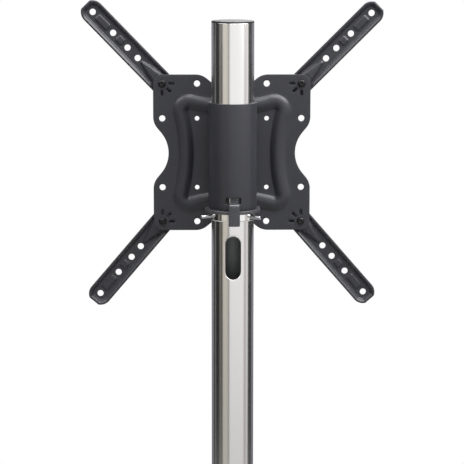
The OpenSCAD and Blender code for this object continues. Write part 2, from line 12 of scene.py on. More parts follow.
import bmesh
import bpy
import numpy as np
from mathutils import Matrix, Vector
from mathutils.geometry import delaunay_2d_cdt


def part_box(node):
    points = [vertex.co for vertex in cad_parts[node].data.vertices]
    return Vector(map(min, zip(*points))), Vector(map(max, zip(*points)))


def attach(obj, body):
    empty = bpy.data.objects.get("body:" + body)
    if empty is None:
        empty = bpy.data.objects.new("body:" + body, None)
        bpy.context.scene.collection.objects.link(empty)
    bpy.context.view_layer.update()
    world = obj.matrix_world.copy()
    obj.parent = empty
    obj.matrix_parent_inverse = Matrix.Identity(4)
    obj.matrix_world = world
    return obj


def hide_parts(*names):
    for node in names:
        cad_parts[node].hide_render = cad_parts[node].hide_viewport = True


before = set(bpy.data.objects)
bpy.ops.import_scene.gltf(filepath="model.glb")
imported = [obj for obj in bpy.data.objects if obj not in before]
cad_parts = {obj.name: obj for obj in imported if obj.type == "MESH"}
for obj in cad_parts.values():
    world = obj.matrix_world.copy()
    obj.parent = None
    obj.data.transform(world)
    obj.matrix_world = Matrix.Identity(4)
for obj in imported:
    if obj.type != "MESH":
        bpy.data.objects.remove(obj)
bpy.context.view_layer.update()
MM = 0.001


def node_box(node):
    """A node's lowest and highest corners in millimetres."""
    low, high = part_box(node)
    return np.array(low) / MM, np.array(high) / MM


def sine(degrees):
    """Sine of an angle in degrees."""
    return math.sin(math.radians(degrees))


def cosine(degrees):
    """Cosine of an angle in degrees."""
    return math.cos(math.radians(degrees))


def new_object(name, data):
    """A scene object that shows a mesh, a camera or a lamp."""
    made = bpy.data.objects.new(name, data)
    bpy.context.scene.collection.objects.link(made)
    return made


# %% [markdown]
# ## From numbers to a mesh
#
# Every new piece is a set of points and a set of faces between them. One function writes both
# into a mesh, joins points that fall on each other, so that seams and poles close, turns all
# faces outwards and keeps edges sharp where two faces meet steeply.

# %% Mesh helpers
# Edges steeper than this stay sharp, and points nearer than this (mm) become one
SHARP_DEG = 34
MERGE = 0.0005


def put_piece(name, surface, body, node, material):
    """Writes a surface, (points in mm, faces), into a mesh that rides on a body and stands for a
    node."""
    mesh = bpy.data.meshes.new(name)
    mesh.from_pydata((surface[0] * MM).tolist(), [], [list(f) for f in surface[1]])
    work = bmesh.new()
    work.from_mesh(mesh)
    bmesh.ops.remove_doubles(work, verts=work.verts, dist=MERGE * MM)
    bmesh.ops.delete(work, geom=[e for e in work.edges if not e.link_faces], context="EDGES")
    bmesh.ops.recalc_face_normals(work, faces=work.faces)
    work.to_mesh(mesh)
    open_edges = sum(1 for e in work.edges if not e.is_manifold)
    work.free()
    mesh.shade_smooth()
    mesh.set_sharp_from_angle(angle=math.radians(SHARP_DEG))
    mesh.materials.append(material)
    piece = new_object(name, mesh)
    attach(piece, body)
    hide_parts(*([node] if isinstance(node, str) else node))
    triangles = sum(len(p.vertices) - 2 for p in mesh.polygons)
    print(f"{name}: {triangles} triangles, {open_edges} open edges")
    return piece


def grid_faces(rows, columns, closed=True, loop=False):
    """Quads between the rows of a grid. A closed grid joins its last column to its first, and a
    loop joins its last row to its first."""
    i, j = np.meshgrid(np.arange(rows if loop else rows - 1),
                       np.arange(columns if closed else columns - 1), indexing="ij")
    i, j = i.ravel(), j.ravel()
    k, l = (i + 1) % rows, (j + 1) % columns
    return np.stack([i * columns + j, i * columns + l, k * columns + l, k * columns + j], 1)


def joined(parts):
    """Several (points, faces) pairs as one pair."""
    faces, start = [], 0
    for points, some in parts:
        if isinstance(some, np.ndarray):
            some = some.tolist()
        faces += [[start + i for i in face] for face in some]
        start += len(points)
    return np.concatenate([points for points, _ in parts]), faces


def rounded(corners, closed=True, steps=6):
    """Straight lines between corners (x, y, r), each of which is an arc of radius r that touches
    both of its sides."""
    out = []
    n = len(corners)
    for i, (x, y, r) in enumerate(corners):
        here = np.array([x, y], float)
        if r <= 0 or (not closed and i in (0, n - 1)):
            out.append(here)
            continue
        before = np.array(corners[i - 1][:2], float) - here
        after = np.array(corners[(i + 1) % n][:2], float) - here
        before, after = before / np.hypot(*before), after / np.hypot(*after)
        half = np.arccos(np.clip(before @ after, -1, 1)) / 2
        middle = (before + after) / np.hypot(*(before + after))
        centre = here + middle * r / np.sin(half)
        start = here + before * r / np.tan(half) - centre
        end = here + after * r / np.tan(half) - centre
        a = np.arctan2(start[1], start[0])
        turn = (np.arctan2(end[1], end[0]) - a + np.pi) % (2 * np.pi) - np.pi
        for t in np.linspace(0, 1, steps + 1):
            out.append(centre + r * np.array([np.cos(a + turn * t), np.sin(a + turn * t)]))
    return np.array(out)


# %% [markdown]
# ## Turned pieces
#
# The tube, the cap and every screw are profiles carried round an axis. A hexagon socket or a
# nut's outside is the same surface with another radius rule: the distance to a hexagon's side
# grows towards its corners.

# %% Turned surfaces
def even_angles(steps):
    """Angles at even steps round a circle."""
    return np.linspace(0, 2 * np.pi, steps, endpoint=False)


def hexagon_rule(steps):
    """How far a hexagon's edge lies from its centre in each direction, with flats at 1."""
    return 1 / np.cos((even_angles(steps) + np.pi / 6) % (np.pi / 3) - np.pi / 6)


def swept(r, z, loop=False):
    """Rows of radii and heights round the axis as (points, faces)."""
    a = even_angles(r.shape[1])
    points = np.stack([r * np.cos(a), r * np.sin(a), np.broadcast_to(z, r.shape)], -1)
    return points.reshape(-1, 3), grid_faces(*r.shape, loop=loop)


def turned(profile, steps):
    """Carries a closed profile of (radius, height) or (radius, height, hexness) points round the
    axis. Where hexness is 1 the radius follows a hexagon whose flats lie at that radius, and where
    it is 0 a circle."""
    profile = np.asarray(profile, float)
    k = profile[:, 2:] if profile.shape[1] > 2 else 0
    r = profile[:, :1] * (1 + k * (hexagon_rule(steps)[None, :] - 1))
    return swept(r, profile[:, 1:2], loop=True)


def placed(points, origin, along):
    """Points modelled along +Z, put at origin with their axis turned to a level direction."""
    z = np.array(along, float) / np.linalg.norm(along)
    x = np.cross((0, 0, 1), z)
    return points @ np.array([x, np.cross(z, x), z]) + np.array(origin, float)


# %% [markdown]
# ## Sheet metal
#
# Plate, arms and tab begin as flat blanks with punched holes, and are then pressed or bent. The
# code does the same: the blank is filled with triangles, a height function presses it, and a
# placing function bends or rolls it. The small round lip of each cut edge draws the outline.

# %% Blanks
def arc(centre, r, start, end, steps=24):
    """Points on a circular arc, from one angle in degrees to another."""
    a = np.radians(np.linspace(start, end, steps + 1))
    return np.stack([centre[0] + r * np.cos(a), centre[1] + r * np.sin(a)], 1)


def evenly(loop, step):
    """A closed loop's points moved to even steps along its length."""
    ring = np.vstack([loop, loop[:1]])
    length = np.hypot(*np.diff(ring, axis=0).T)
    ring = ring[np.concatenate([[True], length > 1e-9])]
    s = np.concatenate([[0], np.cumsum(length[length > 1e-9])])
    at = np.linspace(0, s[-1], max(12, int(round(s[-1] / step))), endpoint=False)
    return np.stack([np.interp(at, s, ring[:, 0]), np.interp(at, s, ring[:, 1])], 1)


def inset_rule(loop, hole=False):
    """A rule that moves a closed loop into the metal by any inset, square to the loop. The sign
    of the loop's area tells which way round it runs."""
    x, y = loop.T
    turn = np.sign(np.sum(x * np.roll(y, -1) - np.roll(x, -1) * y)) * (-1 if hole else 1)
    d = np.roll(loop, -1, 0) - np.roll(loop, 1, 0)
    into = np.stack([-d[:, 1], d[:, 0]], 1) / np.hypot(*d.T)[:, None] * turn
    return lambda inset: loop + into * inset


def inside(points, loop):
    """Which points lie inside a closed loop: a ray to the right crosses it an odd number of
    times."""
    x, y = points[:, :1], points[:, 1:]
    a, b = loop, np.roll(loop, -1, 0)
    spans = (a[:, 1] > y) != (b[:, 1] > y)
    rise = np.where(b[:, 1] == a[:, 1], 1, b[:, 1] - a[:, 1])
    cross = a[:, 0] + (y - a[:, 1]) * (b[:, 0] - a[:, 0]) / rise
    return (np.sum(spans & (x < cross), 1) % 2) == 1


def near_loop(points, loop, reach):
    """Which points lie nearer than reach to the loop's own points."""
    out = np.zeros(len(points), bool)
    for part in np.array_split(np.arange(len(points)), 1 + len(points) // 2000):
        d = points[part, None] - loop[None]
        out[part] = np.min(d[..., 0] ** 2 + d[..., 1] ** 2, 1) < reach ** 2
    return out


def spread(low, high, step):
    """Points of an even square grid between two corners."""
    axes = [np.arange(a + step / 2, b, step) for a, b in zip(low, high)]
    return np.stack(np.meshgrid(*axes), -1).reshape(-1, 2)


LIP_STEPS = 3
# Tolerance of the triangulation, and the share of the edge step that holes and gaps take
MEET, HOLE_SHARE, GAP_SHARE = 1e-5, 0.6, 0.5


def lip_rows(lip):
    """The rows of a round lip as (inset from the edge, depth below the face)."""
    a = np.linspace(0, np.pi / 2, LIP_STEPS + 1)
    return list(zip(lip * (1 - np.sin(a)), lip * (1 - np.cos(a))))


def sheet(outline, holes, front, back, place, lip, points, edge=1.2, trim=True, bands=()):
    """A pressed sheet as (points, faces). outline and holes are closed loops in the blank with
    round lips, front and back give the two faces' heights over it, and place turns (u, v, w) into
    space. bands are the insets of more rows along the outline, which may be a rule from an inset
    to its loop. points are the blank's inner points, and triangles join them all. Where trim is
    False the outline is a seam and stays as it is."""
    if not callable(outline):
        outline = inset_rule(evenly(outline, edge) if trim else outline)
    loops = [outline] + [inset_rule(evenly(h, edge * HOLE_SHARE), True) for h in holes]
    inner = [outline([lip * trim, *bands][-1])] + [rule(lip) for rule in loops[1:]]
    points = points[inside(points, inner[0])]
    for loop in inner[1:]:
        points = points[~inside(points, loop)]
    for loop in inner:
        points = points[~near_loop(points, loop, edge * GAP_SHARE)]
    verts = np.vstack(inner + [points])
    owner = np.repeat(np.arange(len(inner) + 1), [len(l) for l in inner] + [len(points)])
    k = np.arange(len(verts) - len(points))
    first = np.concatenate([[0], np.cumsum([len(l) for l in inner])])[owner[k]]
    count = np.array([len(l) for l in inner])[owner[k]]
    edges = np.stack([k, first + (k - first + 1) % count], 1)
    made = delaunay_2d_cdt(verts.tolist(), edges.tolist(), [], 1, MEET)
    tris, source = np.array(made[2]), np.array([ids[0] for ids in made[3]])
    flat, on = verts[source], owner[source][tris]
    punched = (on.min(1) == on.max(1)) & (on[:, 0] > 0) & (on[:, 0] < len(inner))
    caps = tris[~punched]

    def lifted(uv, side, d):
        w = front(uv[:, 0], uv[:, 1]) - d if side > 0 else back(uv[:, 0], uv[:, 1]) + d
        return place(uv[:, 0], uv[:, 1], w)

    parts = [(lifted(flat, 1, 0), caps), (lifted(flat, -1, 0), caps[:, ::-1])]
    for n, rule in enumerate(loops):
        if n or trim:
            rows = [(band, 0) for band in bands[::-1]] * (n == 0) + lip_rows(lip)
            rings = [lifted(rule(i), 1, d) for i, d in rows]
            rings += [lifted(rule(i), -1, d) for i, d in rows[::-1]]
            parts.append((np.vstack(rings), grid_faces(len(rings), len(rings[0]))))
    return joined(parts)


def circle(x, y, d):
    """A round hole."""
    return arc((x, y), d / 2, 0, 360, 48)[:-1]


def obround(x, y, length, width, turn):
    """A slot with round ends, whose long axis is turned by an angle in degrees."""
    reach = (length - width) / 2
    ends = np.vstack([arc((reach, 0), width / 2, -90, 90), arc((-reach, 0), width / 2, 90, 270)])
    c, s = cosine(turn), sine(turn)
    return ends @ np.array([[c, s], [-s, c]]) + [x, y]


def level(height):
    """A flat face at that height."""
    return lambda u, v: np.full(np.shape(u), float(height))


def rolled(radius):
    """Rolls a blank round the tube's axis: u runs round it from the viewer's side, v runs up."""
    return lambda u, v, w: np.stack([(radius + w) * np.sin(u / radius),
                                     -(radius + w) * np.cos(u / radius), v], -1)


# %% [markdown]
# ## Finishes
#
# Each finish is a Principled shader with its constants on its own sockets, and noise in object
# coordinates for what varies: the grain of powder coat, the lines of a grinding belt round a tube
# and the slight clouding of plastic.

# %% Shader helpers
def add_node(tree, kind, inputs=(), **settings):
    """A new node in a tree. Settings are its own properties. inputs maps the name or number of an
    input to the socket that feeds it, or to its constant."""
    node = tree.nodes.new("ShaderNode" + kind)
    for name, value in settings.items():
        setattr(node, name, value)
    for key, value in dict(inputs).items():
        feed(tree, node.inputs[key], value)
    return node


def feed(tree, socket, value):
    """Links a socket to an input, or sets the input's constant."""
    if isinstance(value, bpy.types.NodeSocket):
        tree.links.new(value, socket)
    else:
        socket.default_value = value


def maths(tree, operation, *values):
    """One step of arithmetic on sockets and numbers."""
    return add_node(tree, "Math", enumerate(values), operation=operation).outputs[0]


def step_node(tree, value, low, high):
    """Zero where value is under low, one where it is over high, and a smooth step between."""
    return add_node(tree, "MapRange", {"Value": value, "From Min": low, "From Max": high},
                    interpolation_type="SMOOTHSTEP").outputs["Result"]


def mixed(tree, share, first, second):
    """Two shaders, the second with that share."""
    return add_node(tree, "MixShader", enumerate((share, first, second))).outputs[0]


def finish(name, colour, rough, vary=0.1, grain=900.0, grain_rough=0.05, bump=0.05,
           bump_depth=0.05, stretch=(1, 1, 1), **constants):
    """A Principled material. The colour varies by the share vary, the roughness by grain_rough,
    and the surface by a bump of bump_depth millimetres, all from one noise of grain per metre
    that stretch draws out along an axis."""
    material = bpy.data.materials.new(name)
    material.use_nodes = True
    tree = material.node_tree
    place = add_node(tree, "TexCoord").outputs["Object"]
    drawn = add_node(tree, "Mapping", {"Vector": place, "Scale": stretch}).outputs["Vector"]
    noise = add_node(tree, "TexNoise", {"Vector": drawn, "Scale": grain, "Detail": 3})
    noise = noise.outputs["Fac"]
    tint = add_node(tree, "Mix", {"Factor": noise, "A": (*[c * (1 - vary) for c in colour], 1),
                                  "B": (*[c * (1 + vary) for c in colour], 1)}, data_type="RGBA")
    gloss = add_node(tree, "MapRange", {"Value": noise, "To Min": rough - grain_rough,
                                        "To Max": rough + grain_rough})
    relief = add_node(tree, "Bump", {"Strength": bump, "Distance": bump_depth * MM,
                                     "Height": noise})
    values = {"Base Color": tint.outputs["Result"], "Roughness": gloss.outputs["Result"],
              "Normal": relief.outputs["Normal"], **constants}
    for socket, value in values.items():
        feed(tree, tree.nodes["Principled BSDF"].inputs[socket.replace("_", " ")], value)
    return material


# %% The finishes
POWDER = (0.026, 0.0265, 0.032)
powder = finish("powder_coat", POWDER, 0.38, vary=0.12, grain=1600, bump=0.08,
                Specular_IOR_Level=0.36)
sleeve_coat = finish("sleeve_coat", POWDER, 0.36, vary=0.12, grain=1800, bump=0.08,
                     Specular_IOR_Level=0.36)
brushed = finish("brushed_stainless", (0.80, 0.79, 0.78), 0.20, vary=0.03, grain=3.0,
                 grain_rough=0.015, bump=0.02, bump_depth=0.004, stretch=(1, 1, 300), Metallic=1.0,
                 Anisotropic=0.5, Anisotropic_Rotation=0.25)
# The tangent turns the grain round the upright axis
grain = add_node(brushed.node_tree, "Tangent", direction_type="RADIAL", axis="Z")
feed(brushed.node_tree, brushed.node_tree.nodes["Principled BSDF"].inputs["Tangent"],
     grain.outputs["Tangent"])
tube_inside = finish("tube_inside", (0.27, 0.28, 0.28), 0.5, vary=0.3, grain=40,
                     grain_rough=0.1, bump=0.1, stretch=(1, 1, 0.12), Metallic=0.7)
polished = finish("polished_stainless", (0.86, 0.85, 0.84), 0.12, vary=0.02, grain=60,
                  grain_rough=0.02, bump=0.02, Metallic=1.0)
screw_steel = finish("screw_steel", (0.46, 0.46, 0.47), 0.30, vary=0.05, grain=300,
                     Metallic=1.0)
tab_coat = finish("tab_coat", (0.036, 0.037, 0.043), 0.28, vary=0.1, grain=1600, bump=0.04,
                  Specular_IOR_Level=0.5)
cap_plastic = finish("black_plastic", (0.010, 0.010, 0.011), 0.42, vary=0.1, grain=700,
                     Specular_IOR_Level=0.3)
washer_plastic = finish("grey_plastic", (0.05, 0.05, 0.055), 0.3, vary=0.1, grain=700)
white_plastic = finish("white_plastic", (0.62, 0.62, 0.60), 0.4, vary=0.03, grain=500)
black_steel = finish("black_steel", (0.005, 0.005, 0.006), 0.22, vary=0.15, grain=1500,
                     Specular_IOR_Level=0.28)
zinc = finish("zinc_plate", (0.62, 0.63, 0.64), 0.32, vary=0.08, grain=400, Metallic=1.0)
rubber = finish("rubber", (0.014, 0.014, 0.014), 0.75, vary=0.2, grain=900, bump=0.4)
print("finishes", len(bpy.data.materials))

# %% [markdown]
# ## Tubes with openings
#
# The wall of the tube, the sleeve, the ring and the bush is a closed profile carried round the
# axis in even columns. Round each opening a few columns are left out, and a rolled sheet with the
# opening in it takes their place. It shares its border points with the columns, so the seams
# close.

# %% Tube walls
def tube_wall(radius, wall, z_low, z_high, lip, openings, columns=192, margin=4.0, fill=2.5,
              bevels=None):
    """A tube's wall as (points, faces). openings are closed loops in the blank (u round the tube
    from the viewer's side, v up). bevels gives the two ends' rows of (inset, distance from the
    end), from the lowest up, where they aren't round lips."""
    step = 2 * np.pi * radius / columns
    spans = []
    for loop in openings:
        low, high = loop.min(0) - margin, loop.max(0) + margin
        spans.append((int(np.floor(low[0] / step)), int(np.ceil(high[0] / step)),
                      round(low[1], 3), round(high[1], 3)))
    levels = sorted({z for s in spans for z in s[2:]})
    low_end, high_end = bevels or (lip_rows(lip), lip_rows(lip)[::-1])
    outer = [(-w, z_low + h) for w, h in low_end]
    outer += [(0.0, z) for z in levels] + [(-w, z_high - h) for w, h in high_end]
    profile = np.array(outer + [(-wall - w, z) for w, z in outer[::-1]])
    u = np.arange(columns) * step
    place = rolled(radius)
    points = place(*np.broadcast_arrays(u[None, :], profile[:, 1:], profile[:, :1])).reshape(-1, 3)
    faces = grid_faces(len(profile), columns, loop=True)
    row, column = faces[:, 0] // columns, faces[:, 0] % columns
    keep = np.ones(len(faces), bool)
    parts = []
    for (c0, c1, z0, z1), loop in zip(spans, openings):
        r_out = len(low_end) + levels.index(z0)
        r_in = len(profile) - 2 - r_out
        hidden = np.isin(column, np.arange(c0, c1) % columns) & np.isin(row, [r_out, r_in])
        keep &= ~hidden
        k = np.arange(c0, c1 + 1) * step
        border = np.vstack([np.stack([k, np.full(len(k), z0)], 1),
                            np.stack([k[::-1], np.full(len(k), z1)], 1)])
        grid = spread(border.min(0), border.max(0), fill)
        parts.append(sheet(border, [loop], level(0), level(-wall), place, lip, grid, trim=False))
    return joined([(points, faces[keep])] + parts)


# %% [markdown]
# ## The tube
#
# Stainless steel, belt ground. The grain runs round the tube, so a reflection stays sharp from
# side to side and blurs along the height.

# %% Tube
tube_low, tube_high = node_box("pole")
TUBE_R = tube_high[0]
TUBE_WALL = 2.0
STAND_H = node_box("pole_cap")[1][2]
SLOT_W, SLOT_H, SLOT_LIP = 23.0, 62.0, 0.35
UPPER_SLOT_DROP, LOWER_SLOT_RISE = 332.0, 160.0

slots = [obround(0, z, SLOT_H, SLOT_W, 90) for z in (LOWER_SLOT_RISE, STAND_H - UPPER_SLOT_DROP)]
wall = tube_wall(TUBE_R, TUBE_WALL, tube_low[2], tube_high[2], SLOT_LIP, slots)
tube = put_piece("tube", wall, "stand", "pole", brushed)
# The faces nearer the axis than the wall's middle take the material of the inside
mesh = tube.data
centres = np.empty(3 * len(mesh.polygons))
mesh.polygons.foreach_get("center", centres)
near = np.hypot(*centres.reshape(-1, 3)[:, :2].T) < (TUBE_R - TUBE_WALL / 2) * MM
mesh.materials.append(tube_inside)
mesh.polygons.foreach_set("material_index", near.astype(np.int32))
print("tube, inner faces", int(near.sum()))

# %% [markdown]
# ## The cap
#
# A moulded plug closes the tube. Its head has the tube's own diameter and a soft upper edge.

# %% Cap
cap_low, cap_high = node_box("pole_cap")
HEAD_T, HEAD_ROUND, HEAD_FLOOR, PLUG_WALL, SEAT_FIT = 2.6, 1.7, 1.5, 2, 0.1
plug_r = TUBE_R - TUBE_WALL - SEAT_FIT
head_z = cap_high[2] - HEAD_T
cap_profile = rounded([
    (0, cap_high[2], 0), (TUBE_R, cap_high[2], HEAD_ROUND), (TUBE_R, head_z, 0.3),
    (plug_r, head_z, 0.2), (plug_r, cap_low[2], 0.6), (plug_r - PLUG_WALL, cap_low[2], 0.5),
    (plug_r - PLUG_WALL, head_z + HEAD_FLOOR, 0.8), (0, head_z + HEAD_FLOOR, 0)])
put_piece("tube_cap", turned(cap_profile, 160), "stand", "pole_cap", cap_plastic)

# %% [markdown]
# ## Ring, clamp screws and washer
#
# The clamp ring is polished, with long set screws in three holes at 120 degrees. The washer above
# it is plastic, a little wider than the sleeve, with rounded edges.

# %% Ring and washer
ring_low, ring_high = node_box("clamp_ring")
RUN_FIT = 0.06
RING_R, RING_IN = ring_high[0], TUBE_R + RUN_FIT
RING_MID = (ring_low[2] + ring_high[2]) / 2
# Bevels as (inset, distance from the end), at the lower and the upper end
RING_BEVELS = [(0.8, 0), (0.35, 0.45), (0, 1.25)], [(0, 0.8), (0.8, 0)]
SCREW_D, SCREW_L, SCREW_TURN, SCREW_PLAY = 5.0, 18.0, -38.0, 0.3
SCREW_ANGLES = [SCREW_TURN + 120 * i for i in range(3)]
screw_holes = [circle(RING_R * math.radians(a + 90), RING_MID, SCREW_D + SCREW_PLAY)
               for a in SCREW_ANGLES]
wall = tube_wall(RING_R, RING_R - RING_IN, ring_low[2], ring_high[2], 0.3, screw_holes,
                 columns=180, margin=1.0, fill=1.2, bevels=RING_BEVELS)
put_piece("ring", wall, "carriage", "clamp_ring", polished)

washer_low, washer_high = node_box("thrust_washer")
EYE_ROUND, RIM_ROUND = 0.3, 0.8
washer_profile = rounded([
    (RING_IN, washer_low[2], EYE_ROUND), (washer_high[0], washer_low[2], RIM_ROUND),
    (washer_high[0], washer_high[2], RIM_ROUND), (RING_IN, washer_high[2], EYE_ROUND)])
put_piece("washer", turned(washer_profile, 160), "carriage", "thrust_washer",
          washer_plastic)


# %% Set screws
SIDES, THREAD_DEPTH = 36, 0.12


def thread(d, pitch, low, high, per_turn=8):
    """Radius and height of a threaded shank. Its wave climbs by one pitch in a turn and dies away
    over the last pitch at each end."""
    rows = int((high - low) / pitch * per_turn)
    z, a = np.meshgrid(np.linspace(low, high, rows + 1), even_angles(SIDES), indexing="ij")
    wave = np.abs(((z / pitch - a / (2 * np.pi)) % 1) * 2 - 1)
    fade = np.clip(np.minimum(z - low, high - z) / pitch, 0, 1)
    return d / 2 - THREAD_DEPTH * pitch * fade * (1 - wave), z


def set_screw(d, length, key, pitch=0.5, chamfer=0.5):
    """A set screw along +Z: a flat point, a threaded shank, a chamfered end and a hexagon socket
    that goes down to its drill point."""
    point = d / 6
    r, z = thread(d, pitch, point, length - chamfer)
    low = np.array([(0, 0), (d / 2 - point, 0)])
    high = np.array([(d / 2 - chamfer, length), (key / 2 * 1.2, length)])
    socket = np.array([(key / 2, length - 0.25), (key / 2, length - d / 2),
                       (0, length - 0.75 * d)])
    flat = np.ones(SIDES)
    return swept(np.vstack([low[:, :1] * flat, r, high[:, :1] * flat,
                            socket[:, :1] * hexagon_rule(SIDES)]),
                 np.vstack([low[:, 1:] * flat, z, high[:, 1:] * flat, socket[:, 1:] * flat]))


parts = []
for angle in SCREW_ANGLES:
    out = np.array([cosine(angle), sine(angle), 0])
    points, faces = set_screw(SCREW_D, SCREW_L, SCREW_D / 2)
    seat = out * (TUBE_R + SEAT_FIT) + [0, 0, RING_MID]
    parts.append((placed(points, seat, out), faces))
put_piece("ring_screws", joined(parts), "carriage", "clamp_screws",
          screw_steel)

# %% [markdown]
# ## The sleeve
#
# The sleeve is a short coated tube, with a low slot that lets the stop tab out.

# %% Sleeve
sleeve_low, sleeve_high = node_box("sleeve")
SLEEVE_R = sleeve_high[0]
SLEEVE_WALL, SLEEVE_LIP = 2.0, 0.6
TAB_SLOT_W, TAB_SLOT_H, TAB_SLOT_RISE, TAB_SLOT_ROUND = 22.4, 8.7, 14.0, 1.2
tab_slot_z = sleeve_low[2] + TAB_SLOT_RISE
slot_loop = rounded([(x * TAB_SLOT_W / 2, tab_slot_z + y * TAB_SLOT_H / 2, TAB_SLOT_ROUND)
                     for x, y in ((-1, -1), (1, -1), (1, 1), (-1, 1))])
wall = tube_wall(SLEEVE_R, SLEEVE_WALL, sleeve_low[2], sleeve_high[2], SLEEVE_LIP, [slot_loop])
put_piece("sleeve_tube", wall, "head", "sleeve", sleeve_coat)

# %% [markdown]
# ## The lower bush
#
# A thin plastic bush lines the sleeve. Its window is a little wider than the tab's lip, beside
# which the bush shows in the sleeve's slot.

# %% Lower bush
bush_low, bush_high = node_box("lower_bush")
BUSH_R = bush_high[0]
TAB_SHIFT, LIP_REACH, WINDOW_PLAY = 1.1, 6.0, 0.5
window_top = node_box("stop_tab")[1][2] + WINDOW_PLAY
window_low = tab_slot_z - TAB_SLOT_H / 2
window = rounded([(TAB_SHIFT + x * (LIP_REACH + WINDOW_PLAY), z, 0.4) for x, z in (
    (-1, window_low), (1, window_low), (1, window_top), (-1, window_top))])
wall = tube_wall(BUSH_R, BUSH_R - RING_IN, bush_low[2], bush_high[2], 0.3, [window],
                 columns=160, margin=2.0, fill=2.0)
put_piece("sleeve_bush", wall, "head", "lower_bush", cap_plastic)

# %% [markdown]
# ## The stop tab
#
# A strip of sheet comes out of the sleeve's slot and hangs in front of washer and ring, where the
# clamp screws stop it. Its placing function bends the flat blank.

# %% Stop tab
def bent(path):
    """Lets a blank's v follow a bent line of (radius, height) points, while w stands square to
    it. Gives the rule and the line's length."""
    path = np.asarray(path, float)
    seg = np.diff(path, axis=0)
    s = np.concatenate([[0], np.cumsum(np.hypot(*seg.T))])
    heading = np.unwrap(np.arctan2(seg[:, 1], seg[:, 0]))
    middle = (s[:-1] + s[1:]) / 2

    def at(v, w):
        turn = np.interp(v, middle, heading)
        r = np.interp(v, s, path[:, 0]) + w * np.sin(turn)
        h = np.interp(v, s, path[:, 1]) - w * np.cos(turn)
        return r, h

    return at, s[-1]


TAB_T, TAB_W, TAB_WAIST_W, TAB_TURN = 1.5, 15.8, 14.2, 1.4
NECK_FIT, LIP_BEND, TAB_BEND, TAB_LIP, TAB_STEP = 0.2, 0.9, 5.0, 0.35, 0.7
tab_low, tab_high = node_box("stop_tab")
tab_face = -tab_low[1]
leg_r = tab_face - TAB_T / 2
lip_r = SLEEVE_R - SLEEVE_WALL - SEAT_FIT - TAB_T / 2
neck_z = tab_slot_z - TAB_SLOT_H / 2 + NECK_FIT + TAB_T / 2
tab_line = rounded([(lip_r, tab_high[2], 0), (lip_r, neck_z, LIP_BEND),
                    (leg_r, neck_z, TAB_BEND), (leg_r, tab_low[2], 0)], closed=False, steps=10)
tab_at, tab_l = bent(tab_line)
neck_v = tab_high[2] - neck_z + (leg_r - lip_r)
half, waist = TAB_W / 2, TAB_WAIST_W / 2
tab_blank = rounded([
    (-waist, 0, 2), (waist, 0, 2), (waist, neck_v - 1, 4), (half, neck_v + 8, 6),
    (half, tab_l, 1.2), (-half, tab_l, 1.2), (-half, neck_v + 8, 6), (-waist, neck_v - 1, 4)])


def place_tab(u, v, w):
    """Carries the bent strip round the axis at its own radius."""
    r, z = tab_at(v, w)
    a = (u + TAB_TURN) / leg_r
    return np.stack([r * np.sin(a), -r * np.cos(a), z], -1)


grid = spread(tab_blank.min(0), tab_blank.max(0), TAB_STEP)
strip = sheet(tab_blank, [], level(TAB_T / 2), level(-TAB_T / 2), place_tab, TAB_LIP, grid,
              edge=0.8)
put_piece("tab", strip, "head", "stop_tab", tab_coat)

# %% [markdown]
# ## The mounting plate
#
# The plate's raised rib is a dome with a soft foot, across a crest line made of eight arcs: a
# tight one round each corner and a wide one that bows in along each side. The height at a point
# depends only on the distance from that line.

# %% Plate blank
plate_low, plate_high = node_box("mount_plate")
HALF_W = plate_high[0]
PLATE_Z = (plate_low[2] + plate_high[2]) / 2
PLATE_T = 2.5
RIB_H = plate_high[1] - plate_low[1] - PLATE_T
PLATE_BACK = plate_high[1]
PIVOT = 100.0
SMALL_D, LARGE_D, PIVOT_D, BOLT_D = 6.6, 8.9, 6.1, 6.6
WAIST_R, SHOULDER_R, WAIST_SLOPE, WAIST_FLANK = 46.0, 25.0, 39.5, 8.8
slope_sine, slope_cosine = sine(WAIST_SLOPE), cosine(WAIST_SLOPE)
waist_depth = (WAIST_R + SHOULDER_R) * (1 - slope_cosine) + WAIST_FLANK * slope_sine
shoulder_y = (WAIST_R + SHOULDER_R) * slope_sine + WAIST_FLANK * slope_cosine
side = np.vstack([
    arc((HALF_W - waist_depth + WAIST_R, 0), WAIST_R, 180, 180 - WAIST_SLOPE),
    arc((HALF_W - SHOULDER_R, shoulder_y), SHOULDER_R, -WAIST_SLOPE, 0),
    arc((PIVOT, PIVOT), HALF_W - PIVOT, 0, 45)])
quarter = np.vstack([side, side[-2:0:-1, ::-1]])


def four_times(part):
    """A quarter of a loop, repeated at every quarter turn."""
    turn = np.array([[0, 1], [-1, 0]])
    return np.vstack([part @ np.linalg.matrix_power(turn, q) for q in range(4)])


plate_loop = four_times(quarter)

INDEX_NEAR, INDEX_FAR, INDEX_W = 9.0, 17.5, 4.0
BOLT_X, BOLT_Y = 13.0, 40.0
corners = [(x, y) for x in (-1, 1) for y in (-1, 1)]
hole_rows = [(PIVOT, PIVOT, PIVOT_D), (PIVOT / 2, PIVOT / 2, SMALL_D), (PIVOT, PIVOT / 2, LARGE_D),
             (PIVOT / 2, PIVOT, LARGE_D), (BOLT_X, BOLT_Y, BOLT_D)]
plate_holes = [circle(x * u, y * v, d) for u, v, d in hole_rows for x, y in corners]
for x, y in corners:
    for a in (0, 45, 90):
        c, s = -x * cosine(a), -y * sine(a)
        mid = (INDEX_NEAR + INDEX_FAR) / 2
        plate_holes.append(obround(x * PIVOT + mid * c, y * PIVOT + mid * s,
                                   INDEX_FAR - INDEX_NEAR, INDEX_W, math.degrees(math.atan2(s, c))))

